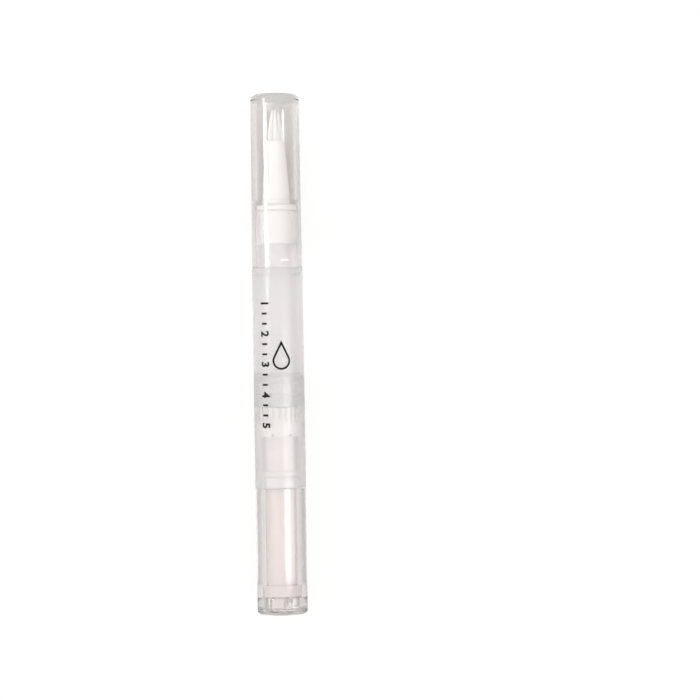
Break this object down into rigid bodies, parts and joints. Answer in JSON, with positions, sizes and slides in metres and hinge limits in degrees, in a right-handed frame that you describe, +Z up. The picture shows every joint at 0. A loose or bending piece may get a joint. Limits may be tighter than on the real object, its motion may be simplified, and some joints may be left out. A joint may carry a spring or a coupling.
{
  "type": "nail oil pen",
  "caption": "Slim twist-up nail oil pen: clear cap over a brush nozzle, frosted barrel with piston and lead screw, clear knob that clicks as it feeds oil.",
  "frame": {"origin": "on the floor, under the middle of the lying pen", "axes": "+Y along the pen's axis towards the cap's end, +Z up, +X across the pen"},
  "size_m": [0.0131, 0.1334, 0.0131],
  "materials": {
    "clear_plastic": "polished clear styrene",
    "frosted_plastic": "frosted translucent polypropylene",
    "white_plastic": "moulded white polypropylene",
    "natural_plastic": "moulded natural polypropylene",
    "soft_plastic": "soft low-density polyethylene",
    "acetal": "moulded acetal, faintly pink",
    "nylon_bristle": "fine nylon bristles"
  },
  "bodies": {
    "barrel_group": {"barrel": "frosted_plastic", "nozzle": "white_plastic", "feed_tube": "natural_plastic", "bristle_tuft": "nylon_bristle", "nut_insert": "white_plastic", "retaining_bush": "natural_plastic"},
    "cap_group": {"cap": "clear_plastic"},
    "knob_group": {"knob_sleeve": "clear_plastic", "end_plug": "clear_plastic", "drive_core": "acetal", "click_ring": "acetal"},
    "screw_group": {"screw_rod": "acetal"},
    "piston_group": {"piston": "soft_plastic"}
  },
  "joints": [
    {"name": "cap_pull", "type": "slide", "parent": "barrel_group", "child": "cap_group", "axis": [0, 1, 0], "range_m": [0, 0.05]},
    {"name": "knob_twist", "type": "hinge", "parent": "barrel_group", "child": "knob_group", "pos_m": [0, 0, 0.00655], "axis": [0, 1, 0], "range_deg": [0, 4500]},
    {"name": "screw_feed", "type": "slide", "parent": "knob_group", "child": "screw_group", "axis": [0, 1, 0], "range_m": [0, 0.0251]},
    {"name": "piston_feed", "type": "slide", "parent": "barrel_group", "child": "piston_group", "axis": [0, 1, 0], "range_m": [0, 0.0251]}
  ],
  "couplings": [
    {"joint": "screw_feed", "follows": "knob_twist", "m_per_rad": 0.00031831},
    {"joint": "piston_feed", "follows": "knob_twist", "m_per_rad": 0.00031831}
  ]
}
